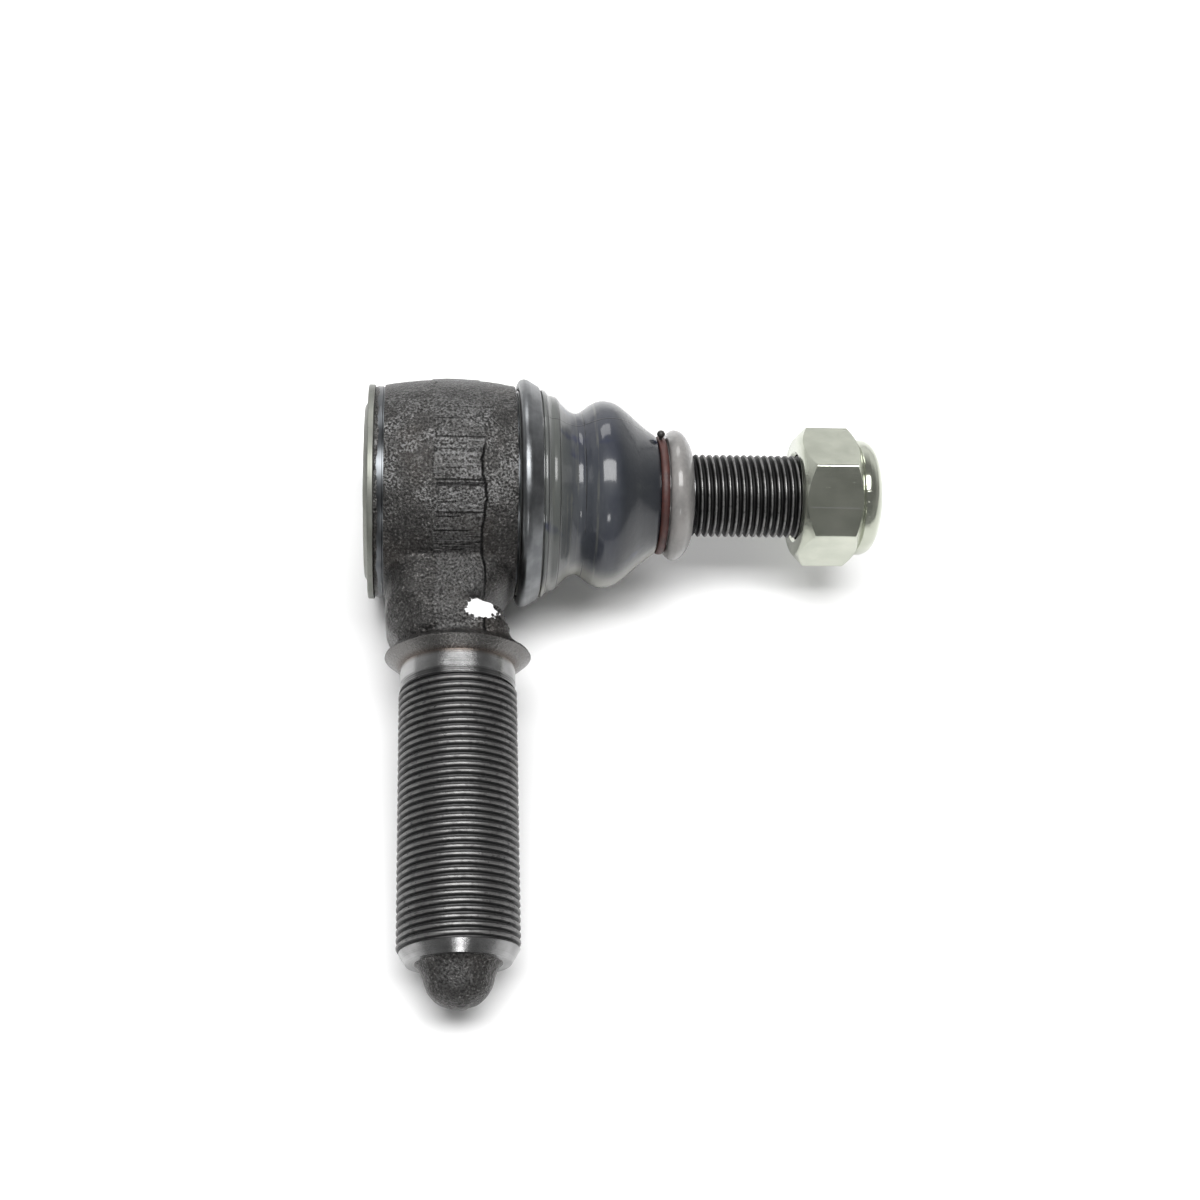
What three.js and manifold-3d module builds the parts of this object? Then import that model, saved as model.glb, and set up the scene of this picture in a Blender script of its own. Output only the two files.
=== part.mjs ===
// Steering tie rod end: a forged housing with a threaded shank, a ball stud held between two seats,
// a dust boot with its two rings, and a self-locking nut on the stud. Millimetres, +Z up.
// The origin is the ball's centre. +X runs along the stud to its nut, -Y along the shank to its tip.
import * as THREE from "three";
import { mergeVertices } from "three/addons/utils/BufferGeometryUtils.js";
import Module from "manifold-3d";

const wasm = await Module();
wasm.setup();

// Driving dimensions. Radii are from the piece's own axis: the stud axis (x) for everything except
// the shank, whose axis is y. "from" and "to" are places along that axis.
const GAP = 0.3; // clearance between two pieces that meet
const BORE = 17.5; // bore of the eye, which takes the seats and the end cap
const BALL = 13.5; // ball radius

const EYE = {
  from: -17.3, // end face under the cap
  to: 11.9, // shoulder at the boot's large end
  turned: 22.5, // machined band beside the cap
  turnedTo: -15.3,
  crown: 24.0, // forged barrel at its thickest
  crownAt: -1.5,
  crownBend: 0.0073, // how fast the barrel gets thinner, per mm squared
};
const SPIGOT = { radius: 20.2, groove: 19.6, to: 17.2, grooveFrom: 13.1, grooveTo: 15.5 };
const MOUTH = { seatFace: 8.2, inner: 11.8, outer: 16.2 };
const NECK = {
  left: -14.6,
  squareness: 0.62, // 1 gives an oval section, less gives a squarer one
  roundFrom: 33,
  // place along y, reach to the right, half the depth
  sections: [
    [-8, 11.8, 12.4],
    [-20, 11.8, 12.4],
    [-25.3, 11.4, 12.4],
    [-28.9, 10.3, 12.5],
    [-31.4, 11.3, 12.8],
    [-33.9, 13.2, 13.4],
    [-36.5, 14.7, 13.6],
    [-38.3, 15, 13.6],
  ],
};
const COLLAR = { radius: 15, halfDepth: 13.6, top: -33.5, edge: -38.3, foot: -40.9 };
const BAND = { radius: 11.7, end: -45.8 };
const SHANK = { radius: 12, root: 11.1, start: -46.5, end: -98.5, chamferTo: -101.4, chamferRadius: 10.2 };
const NUB = { radius: 7.7, from: -102, tip: -110.4 };

const CAP = { flange: 22.7, under: -17.6, over: -18.5, domeRadius: 19.2, crest: -20, wall: 2 };
const SPRING = { outer: 16.4, inner: 7, outerAt: -16.2, innerAt: -14.9, thickness: 1 };
const SEAT = { outer: BORE - GAP, ball: BALL + GAP, back: -13.6, hole: 5.5, front: MOUTH.seatFace - GAP };

const STUD = {
  neck: 7.2,
  neckTo: 24,
  shoulder: 9.9,
  shoulderFrom: 37,
  face: 49.6, // flat face that the steering arm sits on
  thread: 8.9,
  end: 88.5,
  chamfer: 1,
};
const BOOT = {
  from: 12.3,
  to: 49.6,
  seat: 20.5,
  underRing: 21.8,
  grip: 10.2,
  grooveFrom: 42.1,
  grooveTo: 44.5,
  groove: 11.5,
};
const CLAMP = { from: 12.5, to: 17.1, inner: 22.1, crest: 24.3, crestAt: 13.9 };
const BAND_RING = { from: 42.4, to: 44.2, inner: 11.8, outer: 12.8 };
const KNOB = { radius: 0.85, stem: 0.35, at: 42.9, reach: 14, angle: 50 };

const NUT = {
  face: 72.8,
  hexTo: 85.5,
  acrossFlats: 26.2,
  corner: 91, // direction of one corner, in degrees from +Y towards +Z
  washerFace: 12.7,
  faceChamfer: 2.4, // length of the chamfers along a corner
  collarChamfer: 1.7,
  collar: 12.5,
  collarTo: 87.2,
  lip: 9.6,
  end: 90,
  pocketFrom: 85.4,
  pocketTo: 88.3,
  pocket: 11.1,
};
const NUT_BORE = STUD.thread + GAP;

const STEPS = { large: 44, medium: 32, small: 24, arc: 9 }; // flats round a turned piece, and along an arc

const finish = {
  forged: { color: 0x4c4a49, roughness: 0.62, metalness: 0.85 },
  pressed: { color: 0x77787a, roughness: 0.42, metalness: 0.9 },
  spring: { color: 0x3b3d42, roughness: 0.4, metalness: 0.9 },
  seat: { color: 0xe3dfd2, roughness: 0.5, metalness: 0 },
  stud: { color: 0x35373a, roughness: 0.32, metalness: 0.95 },
  boot: { color: 0x7d8791, roughness: 0.35, metalness: 0 },
  clamp: { color: 0x9a9da1, roughness: 0.35, metalness: 0.9 },
  ring: { color: 0x6e2d28, roughness: 0.5, metalness: 0 },
  knob: { color: 0x15130f, roughness: 0.5, metalness: 0 },
  zinc: { color: 0xc9ccc4, roughness: 0.3, metalness: 0.9 },
  nylon: { color: 0xdcdcd4, roughness: 0.45, metalness: 0 },
};

// A closed outline of [place along the axis, radius] points, turned about the y axis.
function revolve(outline, steps, start = 0) {
  const points = outline.map(([along, radius]) => new THREE.Vector2(radius, along));
  if (points[0].x > 0) points.push(points[0].clone());
  if (THREE.ShapeUtils.area(points) < 0) points.reverse();
  return new THREE.LatheGeometry(points, steps, start);
}

// The same outline turned about the stud axis.
function turnOnStud(outline, steps, start = 0) {
  return revolve(outline, steps, start).rotateZ(-Math.PI / 2);
}

function toSolid(geometry) {
  const bare = geometry.index ? geometry.toNonIndexed() : geometry.clone();
  bare.deleteAttribute("normal");
  bare.deleteAttribute("uv");
  const merged = mergeVertices(bare, 1e-4);
  const triVerts = new Uint32Array(merged.index.array);
  const vertProperties = new Float32Array(merged.attributes.position.array);
  return new wasm.Manifold(new wasm.Mesh({ numProp: 3, vertProperties, triVerts }));
}

function toGeometry(solid) {
  const { vertProperties, triVerts } = solid.getMesh();
  const geometry = new THREE.BufferGeometry();
  geometry.setAttribute("position", new THREE.BufferAttribute(vertProperties, 3));
  geometry.setIndex(new THREE.BufferAttribute(triVerts, 1));
  geometry.computeVertexNormals();
  return geometry;
}

// Points of a circle about the origin, from one angle to another, in degrees from the stud axis.
function arc(radius, fromAngle, toAngle, steps = STEPS.arc) {
  return Array.from({ length: steps + 1 }, (_, i) => {
    const angle = THREE.MathUtils.degToRad(fromAngle + ((toAngle - fromAngle) * i) / steps);
    return [radius * Math.cos(angle), radius * Math.sin(angle)];
  });
}

// A smooth line through [place, radius] points.
function smooth(points, steps) {
  const line = new THREE.SplineCurve(points.map(([along, radius]) => new THREE.Vector2(along, radius)));
  return line.getPoints(steps).map(({ x, y }) => [x, y]);
}

function angleAtRadius(radius, sphere) {
  return THREE.MathUtils.radToDeg(Math.asin(radius / sphere));
}

// The eye's outside: a turned band, the forged barrel and the grooved spigot for the boot.
function eyeOutline() {
  const barrelSteps = 8;
  const barrel = Array.from({ length: barrelSteps + 1 }, (_, i) => {
    const along = EYE.turnedTo + 0.1 + ((EYE.to - 0.3 - EYE.turnedTo) * i) / barrelSteps;
    return [along, EYE.crown - EYE.crownBend * (along - EYE.crownAt) ** 2];
  });
  return [
    [EYE.from, 0],
    [EYE.from, EYE.turned - 0.4],
    [EYE.from + 0.4, EYE.turned],
    [EYE.turnedTo, EYE.turned],
    ...barrel,
    [EYE.to, barrel.at(-1)[1] - 0.3],
    [EYE.to, SPIGOT.radius],
    [SPIGOT.grooveFrom, SPIGOT.radius],
    [SPIGOT.grooveFrom, SPIGOT.groove],
    [SPIGOT.grooveTo, SPIGOT.groove],
    [SPIGOT.grooveTo, SPIGOT.radius],
    [SPIGOT.to - 0.4, SPIGOT.radius],
    [SPIGOT.to, SPIGOT.radius - 0.4],
    [SPIGOT.to, 0],
  ];
}

// The eye's inside: the bore, the shoulder behind the front seat and the mouth that the stud swings in.
function cavityOutline() {
  return [
    [EYE.from - 1, 0],
    [EYE.from - 1, BORE],
    [MOUTH.seatFace, BORE],
    [MOUTH.seatFace, MOUTH.inner],
    [SPIGOT.to, MOUTH.outer],
    [SPIGOT.to + 1, MOUTH.outer + 0.5],
    [SPIGOT.to + 1, 0],
  ];
}

// The neck: a rounded block, straight on its left, with a waist on its right that flares into the collar.
function neck() {
  const sections = new THREE.CatmullRomCurve3(
    NECK.sections.map(([along, right, halfDepth]) => new THREE.Vector3(along, right, halfDepth)),
  );
  const column = new THREE.CylinderGeometry(1, 1, 1, 40, 14);
  const corner = column.attributes.position;
  for (let i = 0; i < corner.count; i++) {
    const section = sections.getPoint(0.5 - corner.getY(i));
    const toCollar = THREE.MathUtils.smoothstep(-section.x, NECK.roundFrom, -COLLAR.edge);
    const power = THREE.MathUtils.lerp(NECK.squareness, 1, toCollar);
    const left = THREE.MathUtils.lerp(NECK.left, -COLLAR.radius, toCollar);
    const across = Math.sign(corner.getX(i)) * Math.abs(corner.getX(i)) ** power;
    const deep = Math.sign(corner.getZ(i)) * Math.abs(corner.getZ(i)) ** power;
    const middle = (section.y + left) / 2;
    corner.setXYZ(i, middle + ((section.y - left) / 2) * across, section.x, section.z * deep);
  }
  return toSolid(column);
}

// The forging's lower edge: an oval rim that the neck flares into, tapering to the ground band.
function collar() {
  const rim = revolve(
    [
      [COLLAR.top, 0],
      [COLLAR.top, COLLAR.radius - 4.5],
      [COLLAR.edge + 1.2, COLLAR.radius - 1.2],
      [COLLAR.edge, COLLAR.radius],
      [COLLAR.foot, BAND.radius],
      [COLLAR.foot, 0],
    ],
    STEPS.medium,
  );
  return toSolid(rim.scale(1, 1, COLLAR.halfDepth / COLLAR.radius));
}

// The ground band, the threaded length at its crest diameter and the forged tip.
function shank() {
  const tip = smooth(
    [
      [NUB.from, NUB.radius],
      [NUB.from - 2, NUB.radius - 1],
      [NUB.from - 4.2, NUB.radius - 1.7],
      [NUB.from - 6.6, NUB.radius - 3.5],
      [NUB.tip, 0],
    ],
    8,
  );
  const outline = [
    [COLLAR.edge, 0],
    [COLLAR.edge, BAND.radius],
    [BAND.end, BAND.radius],
    [BAND.end - 0.3, SHANK.root],
    [SHANK.start, SHANK.radius],
    [SHANK.end, SHANK.radius],
    [SHANK.chamferTo, SHANK.chamferRadius],
    [SHANK.chamferTo, NUB.radius + 0.4],
    ...tip,
  ];
  return toSolid(revolve(outline, STEPS.medium));
}

function housing() {
  const eye = toSolid(turnOnStud(eyeOutline(), STEPS.large));
  const forging = eye.add(neck()).add(collar()).add(shank());
  return toGeometry(forging.subtract(toSolid(turnOnStud(cavityOutline(), STEPS.large))));
}

// A domed cover whose flange lies on the eye's end face and whose rim centres it in the bore.
function endCap() {
  const dome = smooth(
    [
      [CAP.over, CAP.domeRadius],
      [CAP.over - 0.75, CAP.domeRadius - 1.6],
      [CAP.crest + 0.3, CAP.domeRadius * 0.5],
      [CAP.crest, 0],
    ],
    8,
  );
  const rim = BORE - GAP;
  return turnOnStud(
    [
      [CAP.crest + CAP.wall, 0],
      [CAP.crest + CAP.wall + 0.4, rim * 0.55],
      [CAP.under + 1.1, rim - 1.6],
      [CAP.under + 1.1, rim],
      [CAP.under, rim],
      [CAP.under, CAP.flange],
      [CAP.over + 0.3, CAP.flange],
      [CAP.over, CAP.flange - 0.3],
      ...dome,
    ],
    STEPS.large,
  );
}

// A disc spring: it rests on the cap at its outer edge and pushes on the rear seat at its inner edge.
function preloadSpring() {
  return turnOnStud(
    [
      [SPRING.outerAt, SPRING.outer],
      [SPRING.outerAt + SPRING.thickness, SPRING.outer],
      [SPRING.innerAt + SPRING.thickness, SPRING.inner],
      [SPRING.innerAt, SPRING.inner],
    ],
    STEPS.medium,
  );
}

function rearSeat() {
  const cup = arc(SEAT.ball, 180 - angleAtRadius(SEAT.hole, SEAT.ball), 91.5);
  return turnOnStud(
    [
      [SEAT.back, SEAT.hole],
      ...cup,
      [cup.at(-1)[0], SEAT.outer],
      [SEAT.back + 1.3, SEAT.outer],
      [SEAT.back, SEAT.outer - 1.7],
    ],
    STEPS.medium,
  );
}

function frontSeat() {
  const edge = THREE.MathUtils.radToDeg(Math.acos(SEAT.front / SEAT.ball));
  const cup = arc(SEAT.ball, 88.5, edge, 8);
  return turnOnStud([[cup[0][0], SEAT.outer], ...cup, [SEAT.front, SEAT.outer]], STEPS.medium);
}

// The ball, its neck, the tapered shank up to the shoulder face, and the threaded length.
function ballStud() {
  const ball = arc(BALL, 180, angleAtRadius(STUD.neck, BALL), 14);
  ball[0][1] = 0;
  return turnOnStud(
    [
      ...ball,
      [STUD.neckTo, STUD.neck],
      [STUD.shoulderFrom, STUD.shoulder],
      [STUD.face, STUD.shoulder],
      [STUD.face, STUD.thread],
      [STUD.end - STUD.chamfer, STUD.thread],
      [STUD.end, STUD.thread - STUD.chamfer],
      [STUD.end, 0],
    ],
    STEPS.medium,
  );
}

// A bellows of one deep fold: its large end sits on the eye's spigot, its lip grips the stud.
function dustBoot() {
  const outside = smooth(
    [
      [BOOT.from + 5.3, 22.2],
      [19.1, 20.9],
      [20.7, 20.8],
      [23, 18.2],
      [25.3, 17.4],
      [27.7, 18.8],
      [30.7, 20],
      [34.1, 19.1],
      [38.1, 15.8],
      [BOOT.grooveFrom, 12.9],
    ],
    16,
  );
  const lip = smooth(
    [
      [BOOT.grooveTo, 12.9],
      [46.4, 13.95],
      [48.2, 13.6],
      [49.1, 12],
      [BOOT.to, 11],
    ],
    6,
  );
  const inside = smooth(
    [
      [BOOT.grooveFrom + 0.7, BOOT.grip],
      [40, 12.4],
      [36, 15.7],
      [33, 17.9],
      [30.7, 18.5],
      [27.7, 17.3],
      [25.3, 15.9],
      [22, 17.5],
      [19.4, 19.2],
      [BOOT.from + 5.3, BOOT.seat],
    ],
    12,
  );
  return turnOnStud(
    [
      [BOOT.from, BOOT.seat],
      [BOOT.from, BOOT.underRing],
      [BOOT.from + 5.1, BOOT.underRing],
      ...outside,
      [BOOT.grooveFrom, BOOT.groove],
      [BOOT.grooveTo, BOOT.groove],
      ...lip,
      [BOOT.to, BOOT.grip],
      ...inside,
    ],
    STEPS.medium,
  );
}

// The metal ring that clamps the boot's large end, with a rounded wedge for its section.
function clampRing() {
  const crown = smooth(
    [
      [CLAMP.from, CLAMP.inner + 1],
      [CLAMP.crestAt, CLAMP.crest],
      [CLAMP.crestAt + 1.3, CLAMP.crest - 0.5],
      [CLAMP.to, CLAMP.inner + 0.4],
    ],
    8,
  );
  return turnOnStud([[CLAMP.from, CLAMP.inner], ...crown, [CLAMP.to, CLAMP.inner]], STEPS.large);
}

function bandRing() {
  const width = BAND_RING.to - BAND_RING.from;
  return turnOnStud(
    [
      [BAND_RING.from, BAND_RING.inner],
      [BAND_RING.from, BAND_RING.outer - 0.4],
      [BAND_RING.from + 0.3 * width, BAND_RING.outer],
      [BAND_RING.to - 0.3 * width, BAND_RING.outer],
      [BAND_RING.to, BAND_RING.outer - 0.4],
      [BAND_RING.to, BAND_RING.inner],
    ],
    STEPS.medium,
  );
}

// The small bead on a stem that stands on the band ring, by which the ring is pulled into its groove.
function ringKnob() {
  const foot = BAND_RING.outer + GAP;
  const stem = new THREE.CylinderGeometry(KNOB.stem, KNOB.stem, KNOB.reach - foot, 8);
  stem.translate(0, (KNOB.reach + foot) / 2, 0);
  const bead = new THREE.SphereGeometry(KNOB.radius, 12, 8).translate(0, KNOB.reach, 0);
  const knob = toSolid(stem).add(toSolid(bead));
  return toGeometry(knob).rotateX(THREE.MathUtils.degToRad(KNOB.angle)).translate(KNOB.at, 0, 0);
}

// A hexagon chamfered at both ends, a round collar curled in over the nylon ring, and the bore.
function lockNut() {
  const cornerRadius = NUT.acrossFlats / Math.sqrt(3);
  const firstCorner = THREE.MathUtils.degToRad(NUT.corner - 90);
  const hexagon = [
    [NUT.face, 0],
    [NUT.face, cornerRadius],
    [NUT.hexTo, cornerRadius],
    [NUT.hexTo, 0],
  ];
  const chamfers = [
    [NUT.face, 0],
    [NUT.face, NUT.washerFace],
    [NUT.face + NUT.faceChamfer, cornerRadius],
    [NUT.hexTo - NUT.collarChamfer, cornerRadius],
    [NUT.hexTo, NUT.washerFace],
    [NUT.hexTo, 0],
  ];
  const curl = smooth(
    [
      [NUT.collarTo, NUT.collar],
      [NUT.collarTo + 1.1, NUT.collar - 0.6],
      [NUT.end - 0.2, NUT.lip + 1.1],
      [NUT.end, NUT.lip],
    ],
    6,
  );
  const collar = [[NUT.hexTo - 2, 0], [NUT.hexTo - 2, NUT.collar], ...curl, [NUT.end, 0]];
  const inside = [
    [NUT.face - 1, 0],
    [NUT.face - 1, NUT_BORE],
    [NUT.pocketFrom, NUT_BORE],
    [NUT.pocketFrom, NUT.pocket],
    [NUT.pocketTo, NUT.pocket],
    [NUT.pocketTo, NUT.lip],
    [NUT.end + 1, NUT.lip],
    [NUT.end + 1, 0],
  ];
  const body = toSolid(turnOnStud(hexagon, 6, firstCorner))
    .intersect(toSolid(turnOnStud(chamfers, STEPS.medium)))
    .add(toSolid(turnOnStud(collar, STEPS.medium)));
  return toGeometry(body.subtract(toSolid(turnOnStud(inside, STEPS.medium))));
}

function nylonInsert() {
  return turnOnStud(
    [
      [NUT.pocketFrom + GAP, NUT_BORE],
      [NUT.pocketFrom + GAP, NUT.pocket - GAP],
      [NUT.pocketTo - GAP, NUT.pocket - GAP],
      [NUT.pocketTo - GAP, NUT_BORE],
    ],
    STEPS.small,
  );
}

const tieRodEnd = new THREE.Group();

function place(name, geometry, look) {
  const mesh = new THREE.Mesh(geometry, new THREE.MeshStandardMaterial(finish[look]));
  mesh.name = name;
  tieRodEnd.add(mesh);
}

place("housing", housing(), "forged");
place("end_cap", endCap(), "pressed");
place("preload_spring", preloadSpring(), "spring");
place("rear_ball_seat", rearSeat(), "seat");
place("front_ball_seat", frontSeat(), "seat");
place("ball_stud", ballStud(), "stud");
place("dust_boot", dustBoot(), "boot");
place("boot_clamp_ring", clampRing(), "clamp");
place("boot_band_ring", bandRing(), "ring");
place("band_ring_knob", ringKnob(), "knob");
place("lock_nut", lockNut(), "zinc");
place("nylon_insert", nylonInsert(), "nylon");

export default tieRodEnd;
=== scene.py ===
"""Steering tie rod end: a forged housing with a threaded shank, a ball stud in a glassy dust boot,
and a self-locking nut. The stud runs along +X, the shank along -Y, and the ball's centre is the origin.
Sizes are in millimetres until they reach Blender, which works in metres."""

from math import asin, atan2, cos, hypot, pi, radians, sin, sqrt

import bpy
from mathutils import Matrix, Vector


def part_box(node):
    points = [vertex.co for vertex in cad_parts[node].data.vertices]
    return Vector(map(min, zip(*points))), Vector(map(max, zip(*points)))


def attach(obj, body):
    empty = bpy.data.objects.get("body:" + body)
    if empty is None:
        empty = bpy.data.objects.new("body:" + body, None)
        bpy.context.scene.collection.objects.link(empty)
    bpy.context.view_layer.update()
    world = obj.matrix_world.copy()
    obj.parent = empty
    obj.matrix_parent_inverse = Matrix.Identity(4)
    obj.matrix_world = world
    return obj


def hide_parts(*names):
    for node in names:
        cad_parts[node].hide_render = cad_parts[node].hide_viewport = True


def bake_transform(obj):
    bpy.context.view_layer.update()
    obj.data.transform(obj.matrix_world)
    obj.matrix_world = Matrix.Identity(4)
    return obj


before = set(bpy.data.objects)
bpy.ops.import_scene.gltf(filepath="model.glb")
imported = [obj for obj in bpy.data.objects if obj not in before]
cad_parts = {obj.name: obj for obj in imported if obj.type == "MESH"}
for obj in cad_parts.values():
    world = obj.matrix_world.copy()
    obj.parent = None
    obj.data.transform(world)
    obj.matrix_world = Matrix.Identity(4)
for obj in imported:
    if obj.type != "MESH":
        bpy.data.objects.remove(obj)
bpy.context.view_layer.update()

MM = 0.001
WELD = 0.001 * MM
CUT_TOLERANCE = 1e-7
STUD = "stud axis"
SHANK = "shank axis"


def extent(node):
    """Where a piece turned about the stud starts and ends along it, and its largest radius."""
    low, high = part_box(node)
    return low.x / MM, high.x / MM, max(high.y, high.z) / MM


EYE_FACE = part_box("housing")[0].x / MM
SHANK_TIP = -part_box("housing")[0].y / MM
CAP_FROM, CAP_TO, CAP_RADIUS = extent("end_cap")
CLAMP_FROM, CLAMP_TO, CLAMP_CREST = extent("boot_clamp_ring")
BOOT_FROM, BOOT_TO, BOOT_RADIUS = extent("dust_boot")
BAND_FROM, BAND_TO, BAND_CREST = extent("boot_band_ring")
STUD_FROM, STUD_TO, BALL = extent("ball_stud")
NUT_FROM, NUT_TO, NUT_REACH = extent("lock_nut")
INSERT_FROM, INSERT_TO, INSERT_RADIUS = extent("nylon_insert")
SPRING_FROM, SPRING_TO, SPRING_RADIUS = extent("preload_spring")
REAR_FROM, REAR_TO, SEAT_RADIUS = extent("rear_ball_seat")
FRONT_FROM, FRONT_TO, _ = extent("front_ball_seat")
GAP = 0.3

BORE = SEAT_RADIUS + GAP
CROWN = 24.0
CROWN_AT = -1.5
CROWN_BEND = 0.0073
TURNED_RADIUS = 22.35
TURNED_TO = -15.3
EYE_TO = 11.9
SPIGOT_RADIUS = 20.2
SPIGOT_TO = 17.2

NECK_LEFT = -14.8
NECK_HALF_DEPTH = 12.4
COLLAR_RADIUS = 15.0
COLLAR_HALF_DEPTH = 13.6
COLLAR_EDGE = 38.3
BAND_START = 40.9
BAND_END = 44.3
THREAD_FROM = 46.0
BAND_RADIUS = 11.7
SHANK_RADIUS = 12.0
SHANK_ROOT = 11.3
SHANK_CREST_AT = 48.065
SHANK_CREST_WIDTH = 0.42
SHANK_END = 98.5
CHAMFER_END = 101.4
CHAMFER_RADIUS = 10.2
FLASH_HALF_WIDTH = 4.9
EDGE_WAVE = 0.45
EDGE_WAVES = 0.48
BLOT = (4.5, -32.2, 12.8)
NUB_RADIUS = 7.85
PITCH = 1.5

STUD_RADIUS = 8.9
STUD_ROOT = 8.1
STUD_CREST_AT = 55.525
STUD_CREST_WIDTH = 0.26
STUD_NECK = 7.2
SHOULDER = 9.9
SHOULDER_AT = 49.6
BOOT_LIP = 14.05
STUD_THREAD_FROM = 50.1

ACROSS_FLATS = 26.2
NUT_CORNER = 91.0
HEX_TO = 85.5
COLLAR_OF_NUT = 12.5
NUT_LIP = 9.6
NUT_BORE = STUD_RADIUS + GAP


# ---------------------------------------------------------------- modelling tools


def smooth(points, steps):
    """A soft line through points, with so many steps between each two."""
    ends = [points[0], *points, points[-1]]
    line = []
    for a, b, c, d in zip(ends, ends[1:], ends[2:], ends[3:]):
        for i in range(steps):
            t = i / steps
            line.append(tuple(
                b[k] + t / 2 * (c[k] - a[k] + t * (2 * a[k] - 5 * b[k] + 4 * c[k] - d[k]
                                                   + t * (3 * (b[k] - c[k]) + d[k] - a[k])))
                for k in (0, 1)
            ))
    return line + [points[-1]]


def arc(radius, from_angle, to_angle, steps, centre=(0, 0)):
    """Points of a circle, its angles in degrees from the stud axis."""
    angles = [radians(from_angle + (to_angle - from_angle) * i / steps) for i in range(steps + 1)]
    return [(centre[0] + radius * cos(a), centre[1] + radius * sin(a)) for a in angles]


def edit(piece):
    bpy.ops.object.select_all(action="DESELECT")
    bpy.context.view_layer.objects.active = piece
    piece.select_set(True)
    bpy.ops.object.mode_set(mode="EDIT")
    bpy.ops.mesh.select_all(action="SELECT")


def done():
    bpy.ops.object.mode_set(mode="OBJECT")
    bpy.ops.object.select_all(action="DESELECT")


def close_up():
    """Merges the seam of the shape being edited and turns its faces outwards."""
    bpy.ops.mesh.select_all(action="SELECT")
    bpy.ops.mesh.remove_doubles(threshold=WELD)
    bpy.ops.mesh.normals_make_consistent(inside=False)


def draw(name, outline, axis, angle=0):
    """A line of edges through the outline's points, each its place along the axis and its radius."""
    bpy.ops.object.select_all(action="DESELECT")
    bpy.ops.mesh.primitive_plane_add(size=MM)
    piece = bpy.context.object
    piece.name = name
    piece.data.name = name
    if axis == STUD:
        turn = radians(angle)
        spots = [Vector((along, r * cos(turn), r * sin(turn))) * MM for along, r in outline]
    else:
        spots = [Vector((r, -along, 0)) * MM for along, r in outline]
    edit(piece)
    bpy.ops.mesh.merge(type="CENTER")
    bpy.ops.transform.translate(value=spots[0])
    for spot, after in zip(spots, spots[1:]):
        bpy.ops.mesh.extrude_region_move(TRANSFORM_OT_translate={"value": after - spot})
    return piece


def turned(name, outline, steps, axis=STUD, angle=0):
    """A piece made on a lathe: a closed outline, or one that starts and ends on the axis."""
    closed = outline if outline[0][1] == 0 else [*outline, outline[0]]
    piece = draw(name, closed, axis, angle)
    bpy.ops.mesh.select_all(action="SELECT")
    about = (1, 0, 0) if axis == STUD else (0, 1, 0)
    bpy.ops.mesh.spin(steps=steps, angle=2 * pi, center=(0, 0, 0), axis=about)
    close_up()
    done()
    return piece


def apply(piece, kind, **settings):
    """Adds a modifier with its settings and applies it."""
    modifier = piece.modifiers.new(kind.lower(), kind)
    for setting, value in settings.items():
        setattr(modifier, setting, value)
    bpy.context.view_layer.objects.active = piece
    bpy.ops.object.modifier_apply(modifier=modifier.name)


def combine(piece, other, operation):
    """Joins, cuts or trims piece with other, which is used up. Cut faces keep the other's material."""
    apply(piece, "BOOLEAN", operation=operation, solver="MANIFOLD", material_mode="TRANSFER", object=other)
    bpy.data.objects.remove(other)


def select(piece, wanted):
    """Selects the vertices whose place, in millimetres, is wanted. The piece is being edited."""
    bpy.ops.mesh.select_all(action="DESELECT")
    bpy.ops.object.mode_set(mode="OBJECT")
    for vertex in piece.data.vertices:
        vertex.select = wanted(*(vertex.co / MM))
    bpy.ops.object.mode_set(mode="EDIT")


def thread_rod(name, axis, ends, crest, root, crest_at, crest_width, steps):
    """A rod with a real right-hand thread, cut square at both ends."""
    flank = (crest - root) / sqrt(3)
    before_crest = PITCH / 2 - crest_width / 2
    start = crest_at - PITCH / 2 - PITCH * (int((crest_at - ends[0]) / PITCH) + 2)
    turn = [
        (start, root),
        (start + before_crest - flank, root),
        (start + before_crest - 0.08, crest - 0.1),
        (start + before_crest + 0.06, crest),
        (start + before_crest + crest_width - 0.06, crest),
        (start + before_crest + crest_width + 0.08, crest - 0.1),
        (start + before_crest + crest_width + flank, root),
        (start + PITCH, root),
    ]
    rod = draw(name, turn, axis)
    done()
    hand = 1 if axis == STUD else -1
    apply(rod, "SCREW", axis="X" if axis == STUD else "Y", steps=steps, render_steps=steps,
          angle=2 * pi * hand, screw_offset=PITCH * MM * hand, iterations=int((ends[1] - start) / PITCH) + 2,
          use_merge_vertices=True, merge_threshold=WELD)
    edit(rod)
    bpy.ops.mesh.remove_doubles(threshold=WELD)
    direction = Vector((1, 0, 0)) if axis == STUD else Vector((0, -1, 0))
    for place, side in zip(ends, (-1, 1)):
        bpy.ops.mesh.select_all(action="SELECT")
        bpy.ops.mesh.bisect(plane_co=direction * place * MM, plane_no=direction * side,
                            clear_outer=True, use_fill=True, threshold=CUT_TOLERANCE)
    close_up()
    done()
    return rod


def lumpy(piece, size, height):
    """Unevenness of a rough surface: lumps of a size, in millimetres, and a height."""
    texture = bpy.data.textures.new("lumps", "CLOUDS")
    texture.noise_scale = size * MM
    texture.noise_depth = 2
    apply(piece, "DISPLACE", texture=texture, strength=height * MM, mid_level=0.5, texture_coords="LOCAL")


def finish_mesh(piece, angle=30):
    """Cleans a finished piece and shades it smooth except across its sharp edges."""
    edit(piece)
    close_up()
    done()
    piece.select_set(True)
    bpy.context.view_layer.objects.active = piece
    bpy.ops.object.shade_smooth_by_angle(angle=radians(angle))
    piece.select_set(False)


# ---------------------------------------------------------------- shader tools


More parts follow.
